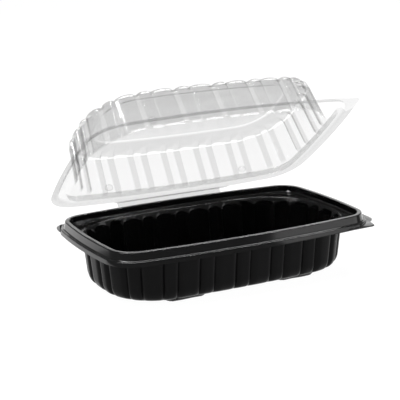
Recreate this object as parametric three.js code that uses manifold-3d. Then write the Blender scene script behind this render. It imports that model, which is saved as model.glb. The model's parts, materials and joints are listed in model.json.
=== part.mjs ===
// Hinged takeaway meal container: a fluted black tray and a fluted clear dome lid joined along the back.
// Millimetres, +Z up. The origin is the middle of the tray's flat base, the front is -Y,
// and the lid stands part open, as it springs when it isn't pressed shut.
import * as THREE from "three";
import { mergeVertices } from "three/addons/utils/BufferGeometryUtils.js";
import Module from "manifold-3d";

// Plan outlines: long sides and short ends bow outwards, and one arc rounds each corner
const crestOutline = { halfLength: 108.6, halfWidth: 64.8, cornerRadius: 20, sideRadius: 850, endRadius: 420 };
const wallOutline = { halfLength: 103, halfWidth: 58.6, cornerRadius: 46, sideRadius: 850, endRadius: 210 };
const panelOutline = { halfLength: 79, halfWidth: 35, cornerRadius: 24, sideRadius: 850, endRadius: 210 };

// Tray heights above the table
const crestHeight = 46.5; // top of the rim
const lipHeight = 40.2; // outer lip under the rim
const skirtHeight = 36.9; // lower edge of the skirt
const ledgeHeight = 39; // ledge inside the rim, at its outer side
const fluteTopHeight = 35.8;
const floorHeight = 2.3; // underside of the scalloped floor, above the flat base
const wallDraft = 0.105; // how far the wall leans in for each millimetre down
const trayWall = 0.8;

// Lid heights, as it lies closed on the tray
const flangeHeight = 43.8; // top of the flat outer flange
const channelHeight = 47.9; // top of the channel that covers the tray's crest
const plugHeight = 42.4; // bottom of the bead that goes inside the crest
const domeShoulderHeight = 77; // tops of the lid's flutes
const domeTopHeight = 80.2;
const flangeReach = 8.2; // flange edge outside the tray's crest
const lidWall = 0.6;

// Flutes run round the wall in pairs, one wide and one narrow, with a narrow one near mid side
const pairPitch = 30.2; // along the long sides
const wideShare = 0.6; // of a pair
const straightPairs = 5; // pairs at the side pitch on each long side
const cornerPairs = 4; // pairs between two long sides, round one short end
const wideDepth = 2.6;
const narrowDepth = 2.2;
const grooveDrop = 2.4; // how much lower a groove starts than the flute beside it
// The flutes aren't quite centred on the front: pairs of a share of the outline and a move along it
const trayShifts = [
  [0, -4.5], [0.05, -4.6], [0.09, -6], [0.14, -7], [0.22, -5], [0.35, -1],
  [0.5, 0], [0.65, 0], [0.8, -1], [0.88, -3.5], [0.95, -4.3], [1, -4.5],
];
const lidShifts = [[0, 3.2], [0.05, 3.8], [0.11, 2], [0.2, 0], [0.85, 0], [0.9, 0.8], [0.95, 1.8], [1, 3.2]];

// Hinge: the lid's strap runs back from its flange to the fold, and the other half goes down to the tray
const foldY = 79;
const foldZ = 46.2;
const openAngle = 38.15; // degrees, the lid's resting angle above closed
const strapHalfLength = 48;
const strapFlare = 5; // fillet where the strap meets the flange
const strapThickness = 0.6;
const foldGap = 0.3;

// Flat base under the floor: a long panel and two cross bars that show as feet
const basePanel = { halfLength: 72, halfWidth: 30, cornerRadius: 8 };
const footBar = { centreX: 47, halfLength: 17, halfWidth: 46, cornerRadius: 6 };

// Corner tabs of the two flanges
const tabHeight = 38.6;
const tabThickness = 0.8;

// Round lugs on the inner walls, which keep stacked containers apart
const lugRadius = 3.4;

const trayPlastic = new THREE.MeshStandardMaterial({ color: 0x131313, roughness: 0.32, metalness: 0 });
const clearPlastic = new THREE.MeshStandardMaterial({
  color: 0xe6e9ea, roughness: 0.12, metalness: 0, transparent: true, opacity: 0.35,
});

const wasm = await Module();
wasm.setup();

// Arcs of an outline, anticlockwise from the middle of the front, each { cx, cy, radius, from, sweep }
function outlineArcs({ halfLength, halfWidth, cornerRadius, sideRadius, endRadius }) {
  // The corner's circle touches the side's and the end's from inside: its centre is where two circles cross
  const sideY = halfWidth - sideRadius;
  const endX = halfLength - endRadius;
  const toSide = sideRadius - cornerRadius;
  const toEnd = endRadius - cornerRadius;
  const apart = Math.hypot(endX, sideY);
  const along = (toSide ** 2 - toEnd ** 2 + apart ** 2) / (2 * apart);
  const across = Math.sqrt(toSide ** 2 - along ** 2);
  const cornerX = (endX * along - sideY * across) / apart;
  const cornerY = sideY + (-sideY * along - endX * across) / apart;
  const crossings = [
    [cornerX, cornerY],
    [(endX * along + sideY * across) / apart, sideY + (-sideY * along + endX * across) / apart],
  ];
  const [cx, cy] = crossings[0][0] > crossings[1][0] ? crossings[0] : crossings[1];
  const sideTurn = Math.atan2(cy - sideY, cx);
  const endTurn = Math.atan2(cy, cx - endX);
  const half = Math.PI / 2;
  const arc = (x, y, radius, from, to) => ({ cx: x, cy: y, radius, from, sweep: to - from });
  return [
    arc(0, -sideY, sideRadius, -half, -sideTurn),
    arc(cx, -cy, cornerRadius, -sideTurn, -endTurn),
    arc(endX, 0, endRadius, -endTurn, endTurn),
    arc(cx, cy, cornerRadius, endTurn, sideTurn),
    arc(0, sideY, sideRadius, sideTurn, 2 * half - sideTurn),
    arc(-cx, cy, cornerRadius, 2 * half - sideTurn, 2 * half - endTurn),
    arc(-endX, 0, endRadius, 2 * half - endTurn, 2 * half + endTurn),
    arc(-cx, -cy, cornerRadius, 2 * half + endTurn, 2 * half + sideTurn),
    arc(0, -sideY, sideRadius, 2 * half + sideTurn, 3 * half),
  ];
}

// Length of an outline, and its point at a share of that length, moved outwards by an offset
function makeOutline(sizes) {
  const arcs = outlineArcs(sizes);
  const lengths = arcs.map((arc) => arc.radius * arc.sweep);
  const length = lengths.reduce((sum, value) => sum + value, 0);
  function at(share, offset) {
    let rest = share * length;
    let k = 0;
    while (k < arcs.length - 1 && rest > lengths[k]) rest -= lengths[k++];
    const { cx, cy, radius, from, sweep } = arcs[k];
    const angle = from + sweep * (rest / lengths[k]);
    return [cx + (radius + offset) * Math.cos(angle), cy + (radius + offset) * Math.sin(angle)];
  }
  return { arcs, lengths, length, at };
}

// Samples of a smooth ring: more of them round the corners than along the sides
function smoothSamples(outline, perCorner, perSide) {
  const samples = [];
  let start = 0;
  outline.arcs.forEach((arc, k) => {
    const isCorner = k % 2 === 1;
    const isHalfSide = k === 0 || k === outline.arcs.length - 1;
    const steps = isCorner ? perCorner : isHalfSide ? perSide / 2 : perSide;
    for (let i = 0; i < steps; i++) {
      samples.push({ share: (start + (outline.lengths[k] * i) / steps) / outline.length });
    }
    start += outline.lengths[k];
  });
  return samples;
}

// How far the flutes are moved along the outline, in millimetres, at a share of its length
function shiftAt(shifts, share) {
  const k = shifts.findIndex(([place], i) => i > 0 && share <= place);
  const [from, a] = shifts[k - 1];
  const [to, b] = shifts[k];
  return a + ((b - a) * (share - from)) / (to - from);
}

// Samples of a fluted ring: bump is 0 in the groove between two flutes and 1 on a flute's face
const wideShape = [[0, 0], [0.07, 0.6], [0.18, 1], [0.82, 1], [0.93, 0.6]];
const narrowShape = [[0, 0], [0.11, 0.62], [0.27, 1], [0.73, 1], [0.89, 0.62]];
function fluteSamples(outline, shifts) {
  const straight = straightPairs * pairPitch;
  const endPitch = (outline.length / 2 - straight) / cornerPairs;
  const samples = [];
  const narrowWidth = (1 - wideShare) * pairPitch;
  let start = -narrowWidth / 2;
  for (let half = 0; half < 2; half++) {
    for (let pair = 0; pair < straightPairs + cornerPairs; pair++) {
      const onSide = pair < (straightPairs + 1) / 2 || pair > (straightPairs - 1) / 2 + cornerPairs;
      const pitch = onSide ? pairPitch : endPitch;
      for (const [share, depth, shape] of [
        [1 - wideShare, narrowDepth, narrowShape],
        [wideShare, wideDepth, wideShape],
      ]) {
        for (const [u, bump] of shape) {
          const place = (start + u * share * pitch) / outline.length;
          const moved = place + shiftAt(shifts, (place + 1) % 1) / outline.length;
          samples.push({ share: (moved + 1) % 1, bump, depth });
        }
        start += share * pitch;
      }
    }
  }
  return samples.sort((a, b) => a.share - b.share);
}

// One ring of points: offset moves it out, groove is its share of the flutes' depth, drop lowers its grooves
function ring(outline, samples, { offset, z, groove = 0, drop = 0 }) {
  return samples.map(({ share, bump = 1, depth = 0 }) => {
    const [x, y] = outline.at(share, offset - depth * (1 - bump) * groove);
    return { share, point: [x, y, z - drop * (1 - bump)] };
  });
}

// A closed skin through a list of rings, with a fan on the first and the last one
function skin(rings, firstCentre, lastCentre) {
  const positions = [];
  const indices = [];
  const add = (point) => positions.push(...point) / 3 - 1;
  const first = add(firstCentre);
  const numbered = rings.map((points) => points.map(({ share, point }) => ({ share, id: add(point) })));
  const last = add(lastCentre);
  const outer = numbered[0];
  outer.forEach(({ id }, i) => indices.push(first, id, outer[(i + 1) % outer.length].id));
  for (let k = 0; k + 1 < numbered.length; k++) {
    const a = numbered[k];
    const b = numbered[k + 1];
    let i = 0;
    let j = 0;
    const reach = (points, n) => (n < points.length ? points[n].share : 1 + points[n % points.length].share);
    while (i < a.length || j < b.length) {
      const idA = a[i % a.length].id;
      const idB = b[j % b.length].id;
      const stepA = i < a.length && (j >= b.length || reach(a, i + 1) <= reach(b, j + 1));
      if (stepA) indices.push(idA, idB, a[++i % a.length].id);
      else indices.push(idA, idB, b[++j % b.length].id);
    }
  }
  const inner = numbered[numbered.length - 1];
  inner.forEach(({ id }, i) => indices.push(last, inner[(i + 1) % inner.length].id, id));
  const geometry = new THREE.BufferGeometry();
  geometry.setAttribute("position", new THREE.Float32BufferAttribute(positions, 3));
  geometry.setIndex(indices);
  return geometry;
}

// A thin sheet between two long edges: rows of { y, z, halfLength }, with the thickness added downwards
function strap(rows, thickness) {
  const rings = rows.map(({ y, z, halfLength }) => [
    [-halfLength, y, z],
    [halfLength, y, z],
    [halfLength, y, z - thickness],
    [-halfLength, y, z - thickness],
  ]);
  const positions = rings.flat(2);
  const indices = [0, 2, 1, 0, 3, 2];
  for (let k = 0; k + 1 < rows.length; k++) {
    for (let i = 0; i < 4; i++) {
      const a = 4 * k + i;
      const b = 4 * k + ((i + 1) % 4);
      indices.push(a, b + 4, a + 4, a, b, b + 4);
    }
  }
  const end = 4 * (rows.length - 1);
  indices.push(end, end + 1, end + 2, end, end + 2, end + 3);
  const geometry = new THREE.BufferGeometry();
  geometry.setAttribute("position", new THREE.Float32BufferAttribute(positions, 3));
  geometry.setIndex(indices);
  return geometry;
}

// A plate whose outline is a list of [x, y] corners, each rounded by its own radius when it has one
function plate(corners, bottom, thickness) {
  const shape = new THREE.Shape();
  const count = corners.length;
  corners.forEach(([x, y, radius = 0], i) => {
    const here = new THREE.Vector2(x, y);
    const before = new THREE.Vector2(...corners[(i + count - 1) % count].slice(0, 2));
    const after = new THREE.Vector2(...corners[(i + 1) % count].slice(0, 2));
    const from = here.clone().add(before.sub(here).setLength(radius || 1e-3));
    const to = here.clone().add(after.sub(here).setLength(radius || 1e-3));
    if (i === 0) shape.moveTo(from.x, from.y);
    else shape.lineTo(from.x, from.y);
    if (radius) shape.quadraticCurveTo(x, y, to.x, to.y);
    else shape.lineTo(x, y);
  });
  const options = { depth: thickness, bevelEnabled: false, curveSegments: 5 };
  return new THREE.ExtrudeGeometry(shape, options).translate(0, 0, bottom);
}

function roundedRectangle(halfLength, halfWidth, radius, centreX = 0) {
  return [
    [centreX - halfLength, -halfWidth, radius],
    [centreX + halfLength, -halfWidth, radius],
    [centreX + halfLength, halfWidth, radius],
    [centreX - halfLength, halfWidth, radius],
  ];
}

function solid(geometry) {
  const plain = geometry.clone();
  for (const name of Object.keys(plain.attributes)) if (name !== "position") plain.deleteAttribute(name);
  const merged = mergeVertices(plain, 1e-4);
  return new wasm.Manifold(new wasm.Mesh({
    numProp: 3,
    vertProperties: new Float32Array(merged.attributes.position.array),
    triVerts: new Uint32Array(merged.index.array),
  }));
}

function toGeometry(manifold) {
  const mesh = manifold.getMesh();
  const geometry = new THREE.BufferGeometry();
  geometry.setAttribute("position", new THREE.BufferAttribute(mesh.vertProperties, 3));
  geometry.setIndex(new THREE.BufferAttribute(mesh.triVerts, 1));
  geometry.computeVertexNormals();
  return geometry;
}

const crest = makeOutline(crestOutline);
const wall = makeOutline(wallOutline);
const panel = makeOutline(panelOutline);
const crestSamples = smoothSamples(crest, 7, 6);
const panelSamples = smoothSamples(panel, 7, 6);
const trayFlutes = fluteSamples(wall, trayShifts);
const lidFlutes = fluteSamples(wall, lidShifts);

// Inset of the wall at a height: it leans in towards the floor
const wallInset = (z) => -wallDraft * (fluteTopHeight - z);

function traySkin() {
  const t = trayWall;
  const inside = [
    ring(wall, trayFlutes, { offset: -10.2, z: floorHeight + t, groove: 0.4 }),
    ring(wall, trayFlutes, { offset: -6.4, z: floorHeight + t + 1.7, groove: 0.9 }),
    ring(wall, trayFlutes, { offset: wallInset(10) - t - 0.3, z: 10, groove: 1 }),
    ring(wall, trayFlutes, { offset: -t, z: fluteTopHeight, groove: 1, drop: grooveDrop }),
    ring(wall, crestSamples, { offset: 1.2 - t, z: fluteTopHeight + 0.8 }),
    ring(crest, crestSamples, { offset: -5.2, z: ledgeHeight }),
    ring(crest, crestSamples, { offset: -4.9, z: ledgeHeight + 1.5 }),
    ring(crest, crestSamples, { offset: -3.9, z: ledgeHeight + 1.9 }),
    ring(crest, crestSamples, { offset: -3.3, z: crestHeight - 0.6 }),
    ring(crest, crestSamples, { offset: -2.6, z: crestHeight }),
    ring(crest, crestSamples, { offset: -0.7, z: crestHeight }),
    ring(crest, crestSamples, { offset: 0, z: crestHeight - 0.6 }),
    ring(crest, crestSamples, { offset: 1.3, z: lipHeight + 0.4 }),
    ring(crest, crestSamples, { offset: 3.5, z: lipHeight }),
    ring(crest, crestSamples, { offset: 4.2, z: skirtHeight }),
  ];
  const outside = [
    ring(crest, crestSamples, { offset: 4.2 - t, z: skirtHeight }),
    ring(crest, crestSamples, { offset: 3.5 - t, z: lipHeight - t }),
    ring(crest, crestSamples, { offset: 1.3 - t, z: lipHeight + 0.4 - t }),
    ring(crest, crestSamples, { offset: -t, z: crestHeight - 0.9 }),
    ring(crest, crestSamples, { offset: -0.9, z: crestHeight - t }),
    ring(crest, crestSamples, { offset: -2.4, z: crestHeight - t }),
    ring(crest, crestSamples, { offset: -3.3 + t, z: crestHeight - 1 }),
    ring(crest, crestSamples, { offset: -3.9 + t, z: ledgeHeight + 1.4 }),
    ring(crest, crestSamples, { offset: -4.9 + t, z: ledgeHeight + 0.9 }),
    ring(crest, crestSamples, { offset: -5.2 + t, z: ledgeHeight - 0.7 }),
    ring(wall, crestSamples, { offset: 1.6, z: fluteTopHeight }),
    ring(wall, trayFlutes, { offset: 0, z: fluteTopHeight - 0.5, groove: 1, drop: grooveDrop }),
    ring(wall, trayFlutes, { offset: wallInset(10) - 0.3, z: 10 - 0.3, groove: 1 }),
    ring(wall, trayFlutes, { offset: -6, z: floorHeight + 1.1, groove: 0.9 }),
    ring(wall, trayFlutes, { offset: -10.2, z: floorHeight, groove: 0.4 }),
  ];
  return skin([...inside, ...outside], [0, 0, floorHeight + t], [0, 0, floorHeight]);
}

// The base stands out under the floor, and is as thin as the rest
function basePlates(inset, bottom, top) {
  const height = top - bottom;
  const { halfLength, halfWidth, cornerRadius } = basePanel;
  const panelCorners = roundedRectangle(halfLength - inset, halfWidth - inset, cornerRadius - inset);
  const pieces = [plate(panelCorners, bottom, height)];
  const bar = footBar;
  for (const centreX of [-bar.centreX, bar.centreX]) {
    const radius = bar.cornerRadius - inset;
    const barCorners = roundedRectangle(bar.halfLength - inset, bar.halfWidth - inset, radius, centreX);
    pieces.push(plate(barCorners, bottom, height));
  }
  return wasm.Manifold.union(pieces.map(solid));
}

// Tab on the front right corner: a pointed thumb tab and a rounded one beside it
function trayTab() {
  return plate([
    [84, -62], [84, -67.6, 2], [108.5, -66.6, 2.5], [108.8, -55.5, 2], [115.6, -48.5, 6], [117.5, -26, 3],
    [104, -22], [104, -40], [98, -52], [86, -58],
  ], tabHeight - tabThickness, tabThickness);
}

// Rounded lobe on the back left corner
function trayLobe() {
  return plate([
    [-86, 64, 1], [-97, 69, 5], [-108.8, 63.2, 7], [-110.4, 48, 4], [-104, 42], [-101, 52], [-94, 59],
  ], tabHeight - tabThickness, tabThickness);
}

function lug(x, y, z) {
  return new THREE.SphereGeometry(lugRadius, 12, 8).scale(1, 1, 0.75).translate(x, y, z);
}

// The largest of a solid's separate pieces
function largest(whole) {
  return whole.decompose().sort((a, b) => b.volume() - a.volume())[0];
}

function makeTray() {
  // The tabs start inside the skirt's sheet
  const withinSkirt = solid(skin([
    ring(crest, crestSamples, { offset: 3.9 - trayWall / 2, z: tabHeight + 1 }),
    ring(crest, crestSamples, { offset: 3.9 - trayWall / 2, z: tabHeight - 2 }),
  ], [0, 0, tabHeight + 1], [0, 0, tabHeight - 2]));
  const shell = wasm.Manifold.union([
    solid(traySkin()),
    basePlates(0, 0, floorHeight + 0.8 * trayWall),
    ...[trayTab(), trayLobe()].map((tab) => solid(tab).subtract(withinSkirt)),
  ]);
  const hollow = basePlates(trayWall, trayWall, floorHeight + 3 * trayWall);
  // Each lug stands at the wall's top, and is cut off inside the sheet
  const half = trayWall / 2;
  const lugPlaces = [[58, 53.7], [-58, 53.7], [58, -53.7], [-58, -53.7]];
  const lugs = lugPlaces.map(([x, y]) => solid(lug(x, y, fluteTopHeight + 1.2)));
  const inside = solid(skin([
    ring(crest, crestSamples, { offset: half - 5.2, z: ledgeHeight - half }),
    ring(wall, crestSamples, { offset: 1.4 - half, z: fluteTopHeight + half }),
    ring(wall, trayFlutes, { offset: -half, z: fluteTopHeight - 0.3, groove: 1, drop: grooveDrop }),
    ring(wall, trayFlutes, { offset: wallInset(10) - 0.3 - half, z: 9.9, groove: 1 }),
  ], [0, 0, ledgeHeight - half], [0, 0, 9.9]));
  const kept = lugs.map((one) => largest(one.intersect(inside)));
  const whole = wasm.Manifold.union([shell.subtract(hollow), ...kept]);
  const mesh = new THREE.Mesh(toGeometry(whole), trayPlastic);
  mesh.name = "tray";
  return mesh;
}

// Inset of the dome's wall at a height
const lidLean = (z) => -wallDraft * (z - flangeHeight);

function lidSkin() {
  const t = lidWall;
  const top = domeShoulderHeight;
  const inner = [
    ring(panel, panelSamples, { offset: -t, z: domeTopHeight - t }),
    ring(panel, panelSamples, { offset: 1.2 - t, z: domeTopHeight - 1.6 - t }),
    ring(wall, crestSamples, { offset: -11, z: top + 0.3 - t }),
    ring(wall, lidFlutes, { offset: -5.2 - t, z: top - t, groove: 0.6, drop: 1.6 }),
    ring(wall, lidFlutes, { offset: lidLean(top - 2) - t, z: top - 2.4, groove: 1, drop: 1.4 }),
    ring(wall, lidFlutes, { offset: lidLean(46) - t, z: 45.4, groove: 1, drop: -1 }),
    ring(wall, crestSamples, { offset: 0.6 - t, z: plugHeight + 1.2 }),
    ring(crest, crestSamples, { offset: -5.6, z: plugHeight - t }),
    ring(crest, crestSamples, { offset: -4, z: plugHeight - t }),
    ring(crest, crestSamples, { offset: -3.7, z: channelHeight - t }),
    ring(crest, crestSamples, { offset: 1.4 - t, z: channelHeight - t }),
    ring(crest, crestSamples, { offset: 3.3 - t, z: flangeHeight - t }),
    ring(crest, crestSamples, { offset: flangeReach, z: flangeHeight - t }),
  ];
  const outer = [
    ring(crest, crestSamples, { offset: flangeReach, z: flangeHeight }),
    ring(crest, crestSamples, { offset: 3.3, z: flangeHeight }),
    ring(crest, crestSamples, { offset: 1.4, z: channelHeight - 0.5 }),
    ring(crest, crestSamples, { offset: 0.8, z: channelHeight }),
    ring(crest, crestSamples, { offset: -3.8, z: channelHeight }),
    ring(crest, crestSamples, { offset: -4.6, z: channelHeight - 0.6 }),
    ring(crest, crestSamples, { offset: -4.8, z: plugHeight }),
    ring(wall, crestSamples, { offset: 0.6, z: plugHeight + 1.2 }),
    ring(wall, lidFlutes, { offset: lidLean(46), z: 46, groove: 1, drop: -1 }),
    ring(wall, lidFlutes, { offset: lidLean(top - 2), z: top - 2, groove: 1, drop: 1.4 }),
    ring(wall, lidFlutes, { offset: -5.2, z: top, groove: 0.6, drop: 1.6 }),
    ring(wall, crestSamples, { offset: -11, z: top + 0.3 }),
    ring(panel, panelSamples, { offset: 1.2, z: domeTopHeight - 1.6 }),
    ring(panel, panelSamples, { offset: 0, z: domeTopHeight }),
  ];
  return skin([...inner, ...outer].reverse(), [0, 0, domeTopHeight], [0, 0, domeTopHeight - t]);
}

// Squared corner of the flange, to lift the lid by
function lidTab() {
  return plate([
    [88, -64], [88, -69.2], [115.8, -66.2, 2.5], [117.4, -38], [112, -38], [108, -54], [100, -62],
  ], flangeHeight - lidWall, lidWall);
}

// The lid's half of the hinge strap, flared where it leaves the flange
function lidStrap() {
  const edge = crestOutline.halfWidth + flangeReach;
  const end = foldY - edge - foldGap / 2;
  const rows = [[-1.2, 0, 1], [0.6, 0, 0.6], [2.2, 0.12, 0.16], [4, 0.55, 0], [end, 1, 0]];
  return strap(rows.map(([run, rise, flare]) => ({
    y: edge + run,
    z: flangeHeight + rise * (foldZ - flangeHeight),
    halfLength: strapHalfLength + flare * strapFlare,
  })), strapThickness);
}

function makeLid() {
  const parts = [lidSkin(), lidTab(), lidStrap()].map(solid);
  const lugs = [[-61, 55.6], [61, 55.6], [-61, -55.6], [61, -55.6]].map(([x, y]) => solid(lug(x, y, 50)));
  const low = 46;
  const high = domeShoulderHeight - 3;
  const inside = solid(skin([
    ring(wall, lidFlutes, { offset: lidLean(high) - lidWall / 2, z: high, groove: 1 }),
    ring(wall, lidFlutes, { offset: lidLean(low) - lidWall / 2, z: low, groove: 1 }),
  ], [0, 0, high], [0, 0, low]));
  const kept = lugs.map((one) => largest(one.intersect(inside)));
  const mesh = new THREE.Mesh(toGeometry(wasm.Manifold.union([...parts, ...kept])), clearPlastic);
  mesh.name = "lid";
  return mesh;
}

// The tray's half of the hinge strap hangs from the fold and grips the tray's skirt
function makeStrap() {
  const skirt = crestOutline.halfWidth + 4.2;
  const rows = [
    [skirt + 0.5, skirtHeight - 0.2],
    [skirt + 2.6, skirtHeight + 0.3],
    [foldY - 3.2, foldZ - 5.2],
    [foldY - 0.9, foldZ - 2.4],
    [foldY + foldGap / 2, foldZ - foldGap],
    [foldY + foldGap / 2 + 0.7, foldZ - foldGap],
  ];
  const sheet = strap(rows.map(([y, z]) => ({ y, z, halfLength: strapHalfLength })), strapThickness);
  const mesh = new THREE.Mesh(sheet, clearPlastic);
  mesh.name = "hinge_strap";
  return mesh;
}

const container = new THREE.Group();
container.add(makeTray(), makeStrap());

// The lid is drawn closed and turned up about the fold
const hinge = new THREE.Group();
hinge.position.set(0, foldY, foldZ);
hinge.rotation.x = -THREE.MathUtils.degToRad(openAngle);
const lid = makeLid();
lid.position.set(0, -foldY, -foldZ);
hinge.add(lid);
container.add(hinge);

export default container;
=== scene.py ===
import json
import math

import bmesh
import bpy
from mathutils import Matrix, Vector


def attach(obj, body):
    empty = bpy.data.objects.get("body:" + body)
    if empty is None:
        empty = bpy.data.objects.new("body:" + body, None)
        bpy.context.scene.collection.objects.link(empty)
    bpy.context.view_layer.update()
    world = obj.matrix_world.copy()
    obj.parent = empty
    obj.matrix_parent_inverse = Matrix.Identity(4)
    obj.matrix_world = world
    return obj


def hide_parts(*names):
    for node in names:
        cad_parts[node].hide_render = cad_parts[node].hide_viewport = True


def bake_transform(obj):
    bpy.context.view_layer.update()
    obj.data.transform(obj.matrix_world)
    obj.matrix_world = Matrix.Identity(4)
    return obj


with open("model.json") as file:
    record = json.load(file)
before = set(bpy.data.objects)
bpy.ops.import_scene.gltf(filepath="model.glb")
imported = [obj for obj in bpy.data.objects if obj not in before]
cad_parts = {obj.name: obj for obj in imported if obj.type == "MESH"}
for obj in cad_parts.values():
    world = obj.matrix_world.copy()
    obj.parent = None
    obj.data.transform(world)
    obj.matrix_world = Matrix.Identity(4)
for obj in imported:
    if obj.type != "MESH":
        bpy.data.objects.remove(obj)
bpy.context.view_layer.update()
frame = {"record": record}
mm = 0.001  # sizes are in millimetres, and become metres where a mesh is made

# plan outlines and fold, the same as the CAD model's
outlineSizes = {
    "crest": {"halfLength": 108.6, "halfWidth": 64.8, "corner": 20, "sideRadius": 850, "endRadius": 420},
    "wall": {"halfLength": 103, "halfWidth": 58.6, "corner": 46, "sideRadius": 850, "endRadius": 210},
    "panel": {"halfLength": 79, "halfWidth": 35, "corner": 24, "sideRadius": 850, "endRadius": 210},
    "tab": {"halfLength": 116.8, "halfWidth": 73, "corner": 6, "sideRadius": 858.2, "endRadius": 428.2}}
hingeJoint = next(j for j in frame["record"]["behaviour"]["joints"] if j["name"] == "lid_hinge")
fold = {"y": hingeJoint["pos_m"][1] / mm, "z": hingeJoint["pos_m"][2] / mm, "open": 38.15}  # open, in degrees

cameraSet = {
    "lens": 105.77, "sensor": 36, "clip": (0.05, 50), "target": (-11.0, 1.5, 60.12), "distance": 909.0,
    "yaw": -27.212, "pitch": 14.418, "roll": -1.345}


def makeCamera():
    yaw, pitch, roll = (math.radians(cameraSet[k]) for k in ("yaw", "pitch", "roll"))
    back = Vector((math.sin(yaw) * math.cos(pitch), -math.cos(yaw) * math.cos(pitch), math.sin(pitch)))
    eye = Vector(cameraSet["target"]) + back * cameraSet["distance"]
    right = (-back).cross(Vector((0, 0, 1))).normalized()
    up = right.cross(-back)
    tiltedRight = right * math.cos(roll) + up * math.sin(roll)
    tiltedUp = up * math.cos(roll) - right * math.sin(roll)
    data = bpy.data.cameras.new("camera")
    data.lens = cameraSet["lens"]
    data.sensor_fit = "HORIZONTAL"
    data.sensor_width = cameraSet["sensor"]
    data.clip_start, data.clip_end = cameraSet["clip"]
    camera = bpy.data.objects.new("camera", data)
    bpy.context.collection.objects.link(camera)
    turn = Matrix((tiltedRight, tiltedUp, back)).transposed().to_4x4()
    camera.matrix_world = Matrix.Translation(eye * mm) @ turn
    bpy.context.scene.camera = camera
    print("camera set")


class Link:  # wraps one output socket, so that materials read as sums
    def __init__(self, shader, socket):
        self.shader = shader
        self.socket = socket

    def math(self, operation, other, swap=False):
        a, b = (other, self) if swap else (self, other)
        return self.shader.node("ShaderNodeMath", {"operation": operation}, {0: a, 1: b})[0]

    def __add__(self, other):
        return self.math("ADD", other)

    def __mul__(self, other):
        return self.math("MULTIPLY", other)

    def __pow__(self, other):
        return self.math("POWER", other)

    def __rsub__(self, other):
        return self.math("SUBTRACT", other, True)

    __radd__ = __add__
    __rmul__ = __mul__


class Shader:
    def __init__(self, name):
        self.material = bpy.data.materials.new(name)
        self.material.use_nodes = True
        self.tree = self.material.node_tree
        self.tree.nodes.clear()

    def node(self, kind, settings=None, values=None):  # settings first, then values or links by socket
        made = self.tree.nodes.new(kind)
        for key, value in (settings or {}).items():
            setattr(made, key, value)
        for key, value in (values or {}).items():
            if isinstance(value, Link):
                self.tree.links.new(value.socket, made.inputs[key])
            else:
                made.inputs[key].default_value = value
        return [Link(self, out) for out in made.outputs]

    def place(self):  # where a point is on the piece
        return self.node("ShaderNodeTexCoord")[3]

    def noise(self, look):
        values = {"Vector": self.place(), "Scale": look["scale"], "Detail": look["detail"]}
        return self.node("ShaderNodeTexNoise", None, values)[0]

    def attribute(self, name):
        return self.node("ShaderNodeAttribute", {"attribute_name": name})[2]

    def bump(self, height, strength):
        return self.node("ShaderNodeBump", None, {"Height": height, "Strength": strength, "Distance": mm})[0]

    def smooth(self, value, span, most=1.0):  # from 0 at the span's start to most at its end
        values = {"Value": value, "From Min": span[0], "From Max": span[1], "To Max": most}
        return self.node("ShaderNodeMapRange", {"interpolation_type": "SMOOTHSTEP"}, values)[0]

    def blendColour(self, factor, low, high):
        return self.node("ShaderNodeMix", {"data_type": "RGBA"}, {0: factor, 6: (*low, 1), 7: (*high, 1)})[2]

    def blendShader(self, factor, first, second):
        return self.node("ShaderNodeMixShader", None, {0: factor, 1: first, 2: second})[0]

    def finish(self, surface):
        self.node("ShaderNodeOutputMaterial", None, {"Surface": surface})
        return self.material


trayFinish = {
    "colour": (0.0050, 0.0050, 0.0052), "worn": (0.0085, 0.0085, 0.0088), "roughness": 0.16, "spread": 0.08,
    "grain": {"scale": 1400.0, "detail": 2.0, "height": 0.02},
    "cloud": {"scale": 45.0, "detail": 3.0, "height": 0.03},
    "bump": 0.25, "ior": 1.49, "specular": 0.05, "coat": 1.0, "coatRoughness": 0.08,
    "rim": (0.033, 0.037)}  # heights in metres between which the coat comes in

# the third and greyest tint is painted shade, put where the bars attribute asks for it
clearFinish = {
    "tint": (0.990, 0.990, 0.990), "slantTint": (0.790, 0.790, 0.790), "paintedShadeTint": (0.838, 0.838, 0.838),
    "slant": (0.2, 0.8),  # how far the sheet turns away where the slant's tint starts and is full
    "body": (0.86, 0.86, 0.86), "bodyRoughness": 0.4, "haze": 0.006, "cloudHaze": 0.01,
    "cloud": {"scale": 30.0, "detail": 2.0}, "bump": 0.02, "gloss": 0.04, "calmGloss": 0.5, "roughness": 0.09,
    "edge": 0.35, "edgePower": 5.0}  # gloss that only shows where the sheet turns away


def makeTrayPlastic():
    look = trayFinish
    shader = Shader("tray_plastic")
    grain = shader.noise(look["grain"])
    cloud = shader.noise(look["cloud"])
    height = shader.node("ShaderNodeSeparateXYZ", None, {0: shader.place()})[2]
    relief = grain * look["grain"]["height"] + cloud * look["cloud"]["height"]
    surface = shader.node("ShaderNodeBsdfPrincipled", None, {
        "Base Color": shader.blendColour(cloud, look["colour"], look["worn"]),
        "Roughness": look["roughness"] + look["spread"] * cloud,
        "IOR": look["ior"], "Specular IOR Level": look["specular"],
        "Normal": shader.bump(relief, look["bump"]),
        "Coat Weight": shader.smooth(height, look["rim"], look["coat"]),
        "Coat Roughness": look["coatRoughness"]})[0]
    return shader.finish(surface)


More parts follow.
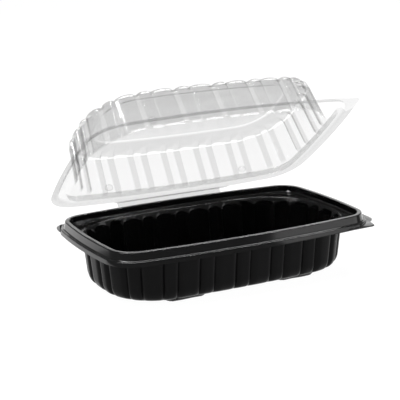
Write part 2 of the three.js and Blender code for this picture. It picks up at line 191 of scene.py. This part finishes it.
def makeClearPlastic(name, kind, settings):
    # greyer in the bars between flutes and at a slant, where the grey in the bars is painted shade mixed in
    # by the bars attribute; kind is the shader that lets light straight through
    look = clearFinish
    shader = Shader(name)
    unshaded, slanted, shaded = (shader.node(kind, None, {"Color": (*look[tint], 1), **settings})[0]
                            for tint in ("tint", "slantTint", "paintedShadeTint"))
    bars = shader.attribute("bars")
    calm = shader.attribute("calm")
    cloud = shader.noise(look["cloud"])
    facing = shader.node("ShaderNodeLayerWeight", None, {"Blend": 0.5})[1]
    across = shader.smooth(facing, look["slant"])
    # painted shade: the bars attribute blends the plain tint towards the greyest one
    plain = shader.blendShader(bars, unshaded, shaded)
    clear = shader.blendShader(across * (1.0 - calm), plain, slanted)
    body = shader.node("ShaderNodeBsdfPrincipled", None, {
        "Base Color": (*look["body"], 1), "Roughness": look["bodyRoughness"], "Specular IOR Level": 0.0})[0]
    milky = shader.blendShader(look["haze"] + look["cloudHaze"] * cloud, clear, body)
    gloss = shader.node("ShaderNodeBsdfAnisotropic", None, {
        "Color": (1, 1, 1, 1), "Roughness": look["roughness"], "Normal": shader.bump(cloud, look["bump"])})[0]
    faceShine = look["gloss"] * (1.0 - look["calmGloss"] * calm)
    edgeShine = look["edge"] * (1.0 - calm) * facing ** look["edgePower"]
    return shader.finish(shader.blendShader(faceShine + edgeShine, milky, gloss))


def outlineArcs(sizes):
    # anticlockwise from the middle of the front; the corner's circle touches both its neighbours from inside
    sideY = sizes["halfWidth"] - sizes["sideRadius"]
    endX = sizes["halfLength"] - sizes["endRadius"]
    toSide = sizes["sideRadius"] - sizes["corner"]
    toEnd = sizes["endRadius"] - sizes["corner"]
    apart = math.hypot(endX, sideY)
    along = (toSide ** 2 - toEnd ** 2 + apart ** 2) / (2 * apart)
    across = math.sqrt(toSide ** 2 - along ** 2)
    places = [((endX * along + s * sideY * across) / apart,
               sideY + (-sideY * along + s * endX * across) / apart) for s in (-1, 1)]
    cx, cy = max(places)
    sideTurn = math.atan2(cy - sideY, cx)
    endTurn = math.atan2(cy, cx - endX)
    half = math.pi / 2
    return [(0, -sideY, sizes["sideRadius"], -half, -sideTurn),
            (cx, -cy, sizes["corner"], -sideTurn, -endTurn),
            (endX, 0, sizes["endRadius"], -endTurn, endTurn),
            (cx, cy, sizes["corner"], endTurn, sideTurn),
            (0, sideY, sizes["sideRadius"], sideTurn, 2 * half - sideTurn),
            (-cx, cy, sizes["corner"], 2 * half - sideTurn, 2 * half - endTurn),
            (-endX, 0, sizes["endRadius"], 2 * half - endTurn, 2 * half + endTurn),
            (-cx, -cy, sizes["corner"], 2 * half + endTurn, 2 * half + sideTurn),
            (0, -sideY, sizes["sideRadius"], 2 * half + sideTurn, 3 * half)]


class Outline:
    def __init__(self, sizes):
        self.arcs = outlineArcs(sizes)
        self.lengths = [radius * (to - start) for _, _, radius, start, to in self.arcs]
        self.length = sum(self.lengths)

    def at(self, share, offset):
        rest = share * self.length
        k = 0
        while k < len(self.arcs) - 1 and rest > self.lengths[k]:
            rest -= self.lengths[k]
            k += 1
        cx, cy, radius, start, to = self.arcs[k]
        angle = start + (to - start) * rest / self.lengths[k]
        return cx + (radius + offset) * math.cos(angle), cy + (radius + offset) * math.sin(angle)


crest, wall, panel, tab = (Outline(outlineSizes[name]) for name in ("crest", "wall", "panel", "tab"))


def softStep(x):
    x = min(max(x, 0.0), 1.0)
    return x * x * (3 - 2 * x)


def isOutside(share, span):
    return share < span[0] or share > span[1]


def bend(start, corner, end, t):
    return start * (1 - t) ** 2 + corner * 2 * t * (1 - t) + end * t ** 2


# flutes stand in pairs, one wide and one narrow, with a narrow one near the middle of each long side
flutes = {
    "pitch": 30.2, "wideShare": 0.6, "wideDepth": 2.7, "narrowDepth": 2.4,
    "sidePairs": 5, "endPairs": 4, "firstEndPair": 3,  # on one half of the outline
    "behind": (0.15, 0.8),  # shares of the outline between which the flutes aren't at the front
    "sideSteps": 7, "flatSteps": 6, "crowding": 1.3, "mostSide": 0.36}
trayFlutes = {
    "side": 5.4, "power": 2.2,  # width of a flute's rounded side, and how full it is
    "bars": {"front": (0, 0), "back": (0, 0)},  # flat bar after a wide and after a narrow flute
    # (share of the outline, how far the flutes are moved along it there)
    "shifts": [(0, -4.5), (0.05, -4.6), (0.09, -6), (0.14, -7), (0.22, -5), (0.35, -1), (0.5, 0), (0.65, 0),
               (0.8, -1), (0.88, -3.5), (0.95, -4.3), (1, -4.5)]}
lidFlutes = {
    "side": 1.5, "power": 1.5,
    "bars": {"front": (3.0, 0), "back": (4.2, 4.2)},
    "shifts": [(0, 3.2), (0.05, 3.8), (0.11, 2), (0.2, 0), (0.85, 0), (0.9, 0.8), (0.95, 1.8), (1, 3.2)]}


def fluteProfile(width, kind, bars):
    # (share of the flute, bump, arch): bar, rounded side, flat face, rounded side and bar
    left, right = (bar / 2 / width for bar in bars)
    side = min(kind["side"] / width, (1 - left - right) * flutes["mostSide"])
    turn = [(i / flutes["sideSteps"]) ** flutes["crowding"] for i in range(flutes["sideSteps"])]
    places = [(0.0, 0.0)] if left else []
    places += [(left + side * t, 1 - (1 - t) ** kind["power"]) for t in turn]
    flat = 1 - left - right - 2 * side
    places += [(left + side + flat * i / flutes["flatSteps"], 1.0) for i in range(flutes["flatSteps"] + 1)]
    back = reversed(turn[0 if right else 1:])
    places += [(1 - right - side * t, 1 - (1 - t) ** kind["power"]) for t in back]
    body = 1 - left - right
    arches = [math.sqrt(max(0, 1 - ((place - left) / body * 2 - 1) ** 2)) for place, _ in places]
    return [(place, bump, arch) for (place, bump), arch in zip(places, arches)]


def moved(share, shifts):
    for (a, low), (b, high) in zip(shifts, shifts[1:]):
        if share <= b:
            return (share + (low + (high - low) * (share - a) / (b - a)) / wall.length) % 1.0
    return share


def fluteColumns(kind):
    # one column of a sheet for each entry: (share of the outline, bump from 0 in a groove to 1, depth, arch)
    f = flutes
    endPitch = (wall.length / 2 - f["sidePairs"] * f["pitch"]) / f["endPairs"]
    start = -(1 - f["wideShare"]) * f["pitch"] / 2
    columns = []
    for pair in 2 * list(range(f["sidePairs"] + f["endPairs"])):
        roundEnd = 0 <= pair - f["firstEndPair"] < f["endPairs"]
        pitch = endPitch if roundEnd else f["pitch"]
        region = "front" if isOutside(start / wall.length % 1.0, f["behind"]) else "back"
        afterWide, afterNarrow = kind["bars"][region]
        for share, depth, bars in ((1 - f["wideShare"], f["narrowDepth"], (afterWide, afterNarrow)),
                                   (f["wideShare"], f["wideDepth"], (afterNarrow, afterWide))):
            width = share * pitch
            for place, bump, arch in fluteProfile(width, kind, bars):
                along = ((start + place * width) / wall.length) % 1.0
                columns.append((moved(along, kind["shifts"]), bump, depth, arch))
            start += width
    return sorted(columns)


def ringAt(outline, offset, z, corner=(0, 1), **more):
    # one ring round the piece; corner is the radius and the number of points that round the sheet there
    return {"outline": outline, "offset": offset, "z": z, "radius": corner[0], "points": corner[1], **more}


def ringPoint(ring, column):
    share, bump, depth, arch = column
    x, y = ring["outline"].at(share, ring["offset"] - depth * (1 - bump) * ring.get("groove", 0))
    return Vector((x, y, ring["z"] - ring.get("drop", 0) * (1 - bump) - ring.get("arch", 0) * (1 - arch)))


def roundColumn(points, rings):
    # rounds each corner of a column's profile by its own ring's radius
    mostReach = 0.48
    out = [points[0]]
    for k in range(1, len(points) - 1):
        here = points[k]
        back = points[k - 1] - here
        ahead = points[k + 1] - here
        reach = min(rings[k]["radius"], mostReach * back.length, mostReach * ahead.length)
        count = rings[k]["points"]
        if count < 2 or reach <= 0:
            out.append(here)
            continue
        a = here + back.normalized() * reach
        b = here + ahead.normalized() * reach
        out += [bend(a, here, b, i / (count - 1)) for i in range(count)]
    out.append(points[-1])
    return out


def barShade(ring, column):
    # painted shade: greyest in the bars between two flutes at the back and the ends, and lightest there at
    # the front
    share, bump, _, _ = column
    atFront = isOutside(share, lidSizes["backShadeSpan"])
    if ring.get("groove", 0) < 1:
        return 0.0 if atFront else ring.get("paintedShade", 0)
    face = softStep(bump / lidSizes["faceFrom"])
    if atFront:
        return lidSizes["frontPaintedShade"] * face
    return 1 - (1 - lidSizes["paintedShade"]) * face


def startPiece(name, addShape, **sizes):
    bpy.ops.object.select_all(action="DESELECT")
    addShape(**sizes)
    piece = bpy.context.object
    piece.name = name
    piece.data.name = name
    return piece


def makeSheet(name, rings, columns, change):
    # a grid, wrapped round the outline and closed at the seam and in the middle
    profiles = [roundColumn([ringPoint(ring, column) for ring in rings], rings) for column in columns]
    for profile, column in zip(profiles, columns):
        change(profile, column)
    owners = [ring for ring in rings for _ in range(ring["points"])]
    across = len(columns)
    down = len(profiles[0]) - 1
    piece = startPiece(name, bpy.ops.mesh.primitive_grid_add, x_subdivisions=across,
                       y_subdivisions=down, size=2)
    for attribute in ("bars", "calm"):
        piece.data.attributes.new(attribute, "FLOAT", "POINT")
    bars, calm = (piece.data.attributes[attribute].data for attribute in ("bars", "calm"))
    for vertex in piece.data.vertices:
        i = round((vertex.co.x + 1) / 2 * across) % across
        j = round((vertex.co.y + 1) / 2 * down)
        vertex.co = profiles[i][j] * mm
        # the bars attribute holds the painted shade that the clear plastic reads
        bars[vertex.index].value = barShade(owners[j], columns[i])
        calm[vertex.index].value = owners[j].get("calm", 0)
    bpy.ops.object.mode_set(mode="EDIT")
    bpy.ops.mesh.select_all(action="SELECT")
    bpy.ops.mesh.remove_doubles(threshold=0.002 * mm)
    bpy.ops.mesh.select_all(action="DESELECT")
    closeMiddle(piece)
    bpy.ops.mesh.select_all(action="SELECT")
    bpy.ops.mesh.normals_make_consistent(inside=False)
    mesh = bmesh.from_edit_mesh(piece.data)
    middle = min(mesh.faces, key=lambda face: face.calc_center_median().xy.length)
    if middle.normal.z < 0:  # the middle faces up before the sheet gets its thickness
        bpy.ops.mesh.flip_normals()
    bpy.ops.object.mode_set(mode="OBJECT")
    return piece


def closeMiddle(piece):
    # the open edges in the middle are closed with one flat face
    halfLength, halfWidth = 75 * mm, 30 * mm
    mesh = bmesh.from_edit_mesh(piece.data)
    for edge in mesh.edges:
        if edge.is_boundary:
            middle = (edge.verts[0].co + edge.verts[1].co) / 2
            edge.select_set(abs(middle.x) < halfLength and abs(middle.y) < halfWidth)
    bmesh.update_edit_mesh(piece.data)
    bpy.ops.mesh.edge_face_add()


def thicken(piece, thickness, materials):
    # the first material is the outer side's, the last the inner side's
    for material in materials:
        piece.data.materials.append(material)
    bpy.context.view_layer.objects.active = piece
    wallStep = piece.modifiers.new("wall", "SOLIDIFY")
    wallStep.thickness = thickness * mm
    wallStep.offset = -1
    wallStep.material_offset = len(materials) - 1
    bpy.ops.object.modifier_apply(modifier="wall")
    bpy.ops.object.select_all(action="DESELECT")
    piece.select_set(True)
    bpy.ops.object.shade_smooth_by_angle(angle=math.radians(50))


traySizes = {
    "sheet": 0.7, "skirt": 36.9, "lip": 40.2, "crest": 46.5, "ledge": 39.0, "fluteTop": 35.8,
    "wallMiddle": 24, "wallFoot": 9, "floor": 3.0, "draft": 0.105,
    "floorRings": (-10.8, -11.8, -12.8, -13.8, -15, -17, -20, -24, -27.6, -28.6, -29.4, -30.2, -31, -32,
                   -36, -40, -43),
    "baseBelow": 12, "baseDrop": 2.3, "baseSlope": 2.4, "barX": 47,  # for what is pressed into the base
    "panel": {"halfLength": 71.2, "halfWidth": 29.2, "radius": 8},
    "crossBar": {"halfLength": 16.2, "halfWidth": 46.2, "radius": 6}}


def roundedBox(x, y, halfLength, halfWidth, radius):
    # distance outside a rounded rectangle
    dx = abs(x) - halfLength + radius
    dy = abs(y) - halfWidth + radius
    return math.hypot(max(dx, 0), max(dy, 0)) + min(max(dx, dy), 0) - radius


def pressBase(profile, column):
    # presses the long panel and the two cross bars down out of the floor
    s = traySizes
    for point in profile:
        if point.z <= s["baseBelow"]:
            away = min(roundedBox(point.x, point.y, **s["panel"]),
                       roundedBox(abs(point.x) - s["barX"], point.y, **s["crossBar"]))
            point.z -= s["baseDrop"] * softStep(0.5 - away / s["baseSlope"])


def makeTray():
    s = traySizes

    def inset(z):
        return -s["draft"] * (s["fluteTop"] - z)

    rings = [
        ringAt(crest, 4.2, s["skirt"]),
        ringAt(crest, 3.6, s["lip"], (0.4, 4)),
        ringAt(crest, 1.4, s["lip"] + 0.4, (0.6, 4)),
        ringAt(crest, 0.1, s["crest"], (0.7, 5)),
        ringAt(crest, -3.4, s["crest"], (0.6, 4)),
        ringAt(crest, -3.4, s["ledge"] + 2.8, (0.5, 4)),
        ringAt(crest, -4.5, s["ledge"] + 2.3, (0.3, 3)),
        ringAt(crest, -4.7, s["ledge"] + 0.7, (0.3, 3)),
        ringAt(wall, 0.9 - s["sheet"], s["ledge"] + 0.5, (0.6, 3)),
        ringAt(wall, 0.1 - s["sheet"], s["fluteTop"] + 1.6, (0.8, 4), groove=0.9, arch=4.2),
        ringAt(wall, inset(s["wallMiddle"]) - s["sheet"], s["wallMiddle"], groove=1),
        ringAt(wall, inset(s["wallFoot"]) - s["sheet"], s["wallFoot"], (2.5, 4), groove=1),
        ringAt(wall, -5.9, s["floor"] + 1.7, (2.5, 5), groove=0.9),
        ringAt(wall, -9.8, s["floor"], (2, 3), groove=0.3)]
    rings += [ringAt(wall, offset, s["floor"]) for offset in s["floorRings"]]
    piece = makeSheet("tray_shell", rings, fluteColumns(trayFlutes), pressBase)
    thicken(piece, s["sheet"], [trayPlastic])
    return piece


# flat plates on the tray's rim, with (x, y, radius) for each corner
plateSizes = {
    "top": 38.6, "sheet": 0.8, "edge": 0.18, "cornerSteps": 8,
    "front_tab": [(84, -61, 0), (84, -67.4, 1.5), (106.0, -66.2, 3), (108.6, -55.5, 2), (115.8, -49.5, 5),
                  (117.0, -26, 4), (109, -22, 0), (109, -40, 0), (104, -53, 0), (97, -59, 0)],
    "back_lobe": [(-86, 64, 0), (-97, 68.5, 6), (-108.5, 63, 8), (-110, 48, 4), (-108, 42, 0), (-105, 52, 0),
                  (-97, 59, 0)]}


def makePlate(name):
    s = plateSizes
    outline = []
    for i, (x, y, radius) in enumerate(s[name]):
        here = Vector((x, y, 0))
        before = Vector((*s[name][i - 1][:2], 0)) - here
        after = Vector((*s[name][(i + 1) % len(s[name])][:2], 0)) - here
        if radius <= 0:
            outline.append(here)
            continue
        a = here + before.normalized() * radius
        b = here + after.normalized() * radius
        outline += [bend(a, here, b, k / s["cornerSteps"]) for k in range(s["cornerSteps"] + 1)]
    piece = startPiece(name, bpy.ops.mesh.primitive_circle_add, vertices=len(outline), radius=1,
                       fill_type="NGON")
    for vertex, point in zip(piece.data.vertices, outline):
        vertex.co = Vector((point.x, point.y, s["top"] - s["sheet"])) * mm
    bpy.ops.object.mode_set(mode="EDIT")
    bpy.ops.mesh.select_all(action="SELECT")
    bpy.ops.mesh.extrude_region_move(TRANSFORM_OT_translate={"value": (0, 0, s["sheet"] * mm)})
    bpy.ops.mesh.select_all(action="SELECT")
    bpy.ops.mesh.normals_make_consistent(inside=False)
    bpy.ops.object.mode_set(mode="OBJECT")
    edge = piece.modifiers.new("edge", "BEVEL")
    edge.width = s["edge"] * mm
    edge.segments = 2
    edge.limit_method = "ANGLE"
    bpy.ops.object.modifier_apply(modifier="edge")
    bpy.ops.object.shade_smooth_by_angle(angle=math.radians(40))
    return piece


# round lugs on the inner walls, which keep stacked containers apart
lugSizes = {
    "radii": (3.4, 2.3, 2.6), "tray": (58, 54.3, 38.4), "lid": (61, 55.2, 50.0),
    "corners": {"front_left": (-1, -1), "front_right": (1, -1), "back_left": (-1, 1), "back_right": (1, 1)}}


def makeLug(name, middle):
    piece = startPiece(name, bpy.ops.mesh.primitive_uv_sphere_add, segments=28, ring_count=14, radius=1)
    for vertex in piece.data.vertices:
        parts = zip(middle, lugSizes["radii"], vertex.co)
        vertex.co = Vector([m + reach * part for m, reach, part in parts]) * mm
    bpy.ops.object.shade_smooth()
    return piece


lidSizes = {
    "sheet": 0.5, "flange": 43.8, "reach": 8.2, "channel": 47.9, "plug": 42.4, "wallFoot": 45.4,
    "wallMiddle": 60, "shoulder": 77.2, "top": 80.2, "draft": 0.105,
    "tabFrom": (92, 34), "tabOver": (10, 12),  # where the front right corner turns square, and over how far
    "calm": 0.95,  # how little the channel and the walls turn grey at a slant
    # how much painted shade the back faces, the front faces, the flange and edge rows and the channel take
    "paintedShade": 0.42, "frontPaintedShade": 0.42, "edgePaintedShade": 0.8, "channelPaintedShade": 0.4, "faceFrom": 0.6,
    "backShadeSpan": (0.18, 0.78)}  # shares of the outline between which the painted shade is greyest in the bars; outside them it sits on the faces


def squareCorner(profile, column):
    # the flange's front right corner is squared off as a lifting tab
    share = column[0]
    x, y = crest.at(share, lidSizes["reach"])
    if x < 0 or y > 0:
        return
    (fromX, fromY), (overX, overY) = lidSizes["tabFrom"], lidSizes["tabOver"]
    weight = softStep((x - fromX) / overX) * softStep((-y - fromY) / overY)
    if weight <= 0:
        return
    tx, ty = tab.at(share, 0)
    profile[0].x += (tx - profile[0].x) * weight
    profile[0].y += (ty - profile[0].y) * weight


def openLid(point):
    # the lid is drawn closed and turned up about the fold
    turn = math.radians(fold["open"])
    y = point.y / mm - fold["y"]
    z = point.z / mm - fold["z"]
    return Vector((point.x, (fold["y"] + y * math.cos(turn) + z * math.sin(turn)) * mm,
                   (fold["z"] - y * math.sin(turn) + z * math.cos(turn)) * mm))


def openPiece(piece):
    for vertex in piece.data.vertices:
        vertex.co = openLid(vertex.co)


def makeLid():
    s = lidSizes
    top = s["shoulder"]
    inWall = {"groove": 1, "calm": s["calm"]}
    # the channel, flange and edge rows take painted shade at the back
    inChannel = {"calm": s["calm"], "paintedShade": s["channelPaintedShade"]}
    onFlange = {"calm": s["calm"] / 2, "paintedShade": s["edgePaintedShade"]}
    onEdge = {"paintedShade": s["edgePaintedShade"]}

    def lean(z):
        return -s["draft"] * (z - s["flange"])

    rings = [
        ringAt(crest, s["reach"], s["flange"], **onFlange),
        ringAt(crest, 3.3, s["flange"], (0.8, 4), **onFlange),
        ringAt(crest, 1.4, s["channel"], (1.0, 5), **inChannel),
        ringAt(crest, -4.0, s["channel"], (1.0, 5), **inChannel),
        ringAt(crest, -4.8, s["plug"], (0.7, 4), **inChannel),
        ringAt(wall, 0.9, s["plug"] + 0.4, (0.7, 4), **inChannel),
        ringAt(wall, -0.2, s["wallFoot"], (1.0, 4), drop=-1.4, **inWall),
        ringAt(wall, lean(s["wallMiddle"]), s["wallMiddle"], **inWall),
        ringAt(wall, lean(top - 4), top - 3.6, (0.5, 4), groove=1, arch=0.8, calm=s["calm"] / 2),
        ringAt(wall, lean(top - 4) - 0.8, top - 1.4, (1.2, 4), groove=0.9, arch=2.2, calm=s["calm"] / 3),
        ringAt(wall, -6.2, top, (1.6, 4), groove=0.5, arch=2.2, **onEdge),
        ringAt(wall, -11, top + 0.3, (2, 3), **onEdge),
        ringAt(panel, 2.2, s["top"] - 1.7, (0.5, 3), **onEdge),
        ringAt(panel, 0.4, s["top"], (0.6, 4)),
        ringAt(panel, -10, s["top"]),
        ringAt(panel, -22, s["top"])]
    piece = makeSheet("lid_shell", rings, fluteColumns(lidFlutes), squareCorner)
    thicken(piece, s["sheet"], [clearOuter, clearInner])
    openPiece(piece)
    return piece


# hinge film: one clear strip from the lid's flange round the fold and down to the tray's skirt
filmSizes = {"sheet": 0.4, "half": 47.5, "flare": 5.5, "across": 24, "steps": 4}


def makeFilm():
    # each half's points are (y, z, share of the flare), and the lid's half is drawn closed
    s = filmSizes
    edge = outlineSizes["crest"]["halfWidth"] + lidSizes["reach"]
    lidHalf = [(edge - 0.9, lidSizes["flange"] - 0.02, 1.0), (edge + 0.6, lidSizes["flange"], 0.62),
               (edge + 2.2, 44.1, 0.2), (edge + 4, 45.1, 0.0), (fold["y"] - 0.5, fold["z"] - 0.15, 0.0)]
    trayHalf = [(fold["y"] + 0.15, fold["z"] - 0.6, 0), (fold["y"] - 1.0, fold["z"] - 2.6, 0),
                (fold["y"] - 3.3, fold["z"] - 5.4, 0), (72.0, 37.4, 0), (69.6, 36.9, 0)]
    path = [openLid(Vector((0, y, z)) * mm) / mm for y, z, _ in lidHalf]
    path += [Vector((0, y, z)) for y, z, _ in trayHalf]
    flare = [share for _, _, share in lidHalf + trayHalf]
    fine = []
    for k in range(len(path) - 1):
        for t in (i / s["steps"] for i in range(s["steps"])):
            fine.append((path[k].lerp(path[k + 1], t), flare[k] + (flare[k + 1] - flare[k]) * t))
    fine.append((path[-1], flare[-1]))
    down = len(fine) - 1
    piece = startPiece("hinge_film", bpy.ops.mesh.primitive_grid_add, x_subdivisions=s["across"],
                       y_subdivisions=down, size=2)
    # painted shade: the whole strip takes the greyest tint
    bars = piece.data.attributes.new("bars", "FLOAT", "POINT")
    for vertex in piece.data.vertices:
        point, wide = fine[round((vertex.co.y + 1) / 2 * down)]
        vertex.co = Vector((vertex.co.x * (s["half"] + wide * s["flare"]), point.y, point.z)) * mm
        bars.data[vertex.index].value = 1.0
    thicken(piece, s["sheet"], [clearOuter, clearInner])
    return piece


roomSet = {
    "floor": 40.0, "floorColours": ((0.10, 0.10, 0.10), (0.12, 0.12, 0.12)), "floorRoughness": 0.8,
    "cloud": {"scale": 2.0, "detail": 2.0}, "floorGlow": 0.98, "sky": 0.14,
    "lights": {  # glow is how bright a panel itself looks
        "low_front": {"place": (1.15, -0.96, 0.36), "size": (1.0, 0.6), "glow": 1.1, "aim": (0, 0, 0.05)},
        "left_strip": {"place": (-1.0, -0.15, 0.75), "size": (0.14, 0.8), "glow": 5, "aim": (0, 0, 0.06)},
        "top_strip": {"place": (0.3, 0.3, 1.25), "size": (1.4, 0.45), "glow": 11, "aim": (0.3, 0, 0.04)},
        "front_strip": {"place": (-0.66, -0.1, 1.1), "size": (0.1, 0.4), "glow": 45, "aim": (-0.66, 0, 0.14)},
        "back_box": {"place": (0.75, 1.3, 0.45), "size": (1.6, 0.5), "glow": 0.85, "aim": (0, 0, 0.04)}}}


def makeFloorPaint():
    shader = Shader("floor_paint")
    surface = shader.node("ShaderNodeBsdfPrincipled", None, {
        "Base Color": shader.blendColour(shader.noise(roomSet["cloud"]), *roomSet["floorColours"]),
        "Roughness": roomSet["floorRoughness"], "Specular IOR Level": 0.0,
        "Emission Color": (1, 1, 1, 1), "Emission Strength": roomSet["floorGlow"]})[0]
    return shader.finish(surface)


def makeLight(name, spec):
    data = bpy.data.lights.new(name, "AREA")
    data.shape = "RECTANGLE"
    data.size, data.size_y = spec["size"]
    data.energy = spec["glow"] * math.pi * data.size * data.size_y
    light = bpy.data.objects.new(name, data)
    bpy.context.collection.objects.link(light)
    light.location = spec["place"]
    towards = Vector(spec["aim"]) - Vector(spec["place"])
    light.rotation_euler = towards.to_track_quat("-Z", "Y").to_euler()


def makeRoom():
    floor = startPiece("floor", bpy.ops.mesh.primitive_plane_add, size=roomSet["floor"], location=(0, 0, 0))
    floor.data.materials.append(makeFloorPaint())
    world = bpy.data.worlds.new("studio")
    bpy.context.scene.world = world
    world.use_nodes = True
    sky = world.node_tree.nodes["Background"]
    sky.inputs["Color"].default_value = (1, 1, 1, 1)
    sky.inputs["Strength"].default_value = roomSet["sky"]
    for name, spec in roomSet["lights"].items():
        makeLight(name, spec)
    print("room lit")


makeCamera()
bpy.context.scene.view_settings.view_transform = "Standard"
trayPlastic = makeTrayPlastic()
# a line of sight may cross only a few layers of one kind, so the two sides of the sheet differ
clearOuter = makeClearPlastic("clear_plastic", "ShaderNodeBsdfTransparent", {})
clearInner = makeClearPlastic("clear_plastic_inner", "ShaderNodeBsdfRefraction",
                              {"IOR": 1.0, "Roughness": 0.0})

tray = makeTray()
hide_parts("tray")
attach(tray, "tray")
for name in ("front_tab", "back_lobe"):
    plate = makePlate(name)
    plate.data.materials.append(trayPlastic)
    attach(plate, "tray")
print("tray modelled")

lid = makeLid()
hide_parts("lid")
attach(lid, "lid")
print("lid modelled")

for body, finish, slotName in (("tray", trayPlastic, "tray_plastic"), ("lid", clearOuter, "clear_plastic")):
    x, y, z = lugSizes[body]
    for corner, (sideX, sideY) in lugSizes["corners"].items():
        lug = makeLug(body + "_lug_" + corner, (sideX * x, sideY * y, z))
        if body == "lid":
            openPiece(lug)
        lug.data.materials.append(finish)
        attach(lug, body)
print("lugs modelled")

film = makeFilm()
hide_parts("hinge_strap")
fold["y"] * mm
(fold["z"] - 0.5) * mm
fold["y"] * mm
(fold["z"] + 0.5) * mm
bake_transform(film)
print("hinge film modelled")

makeRoom()
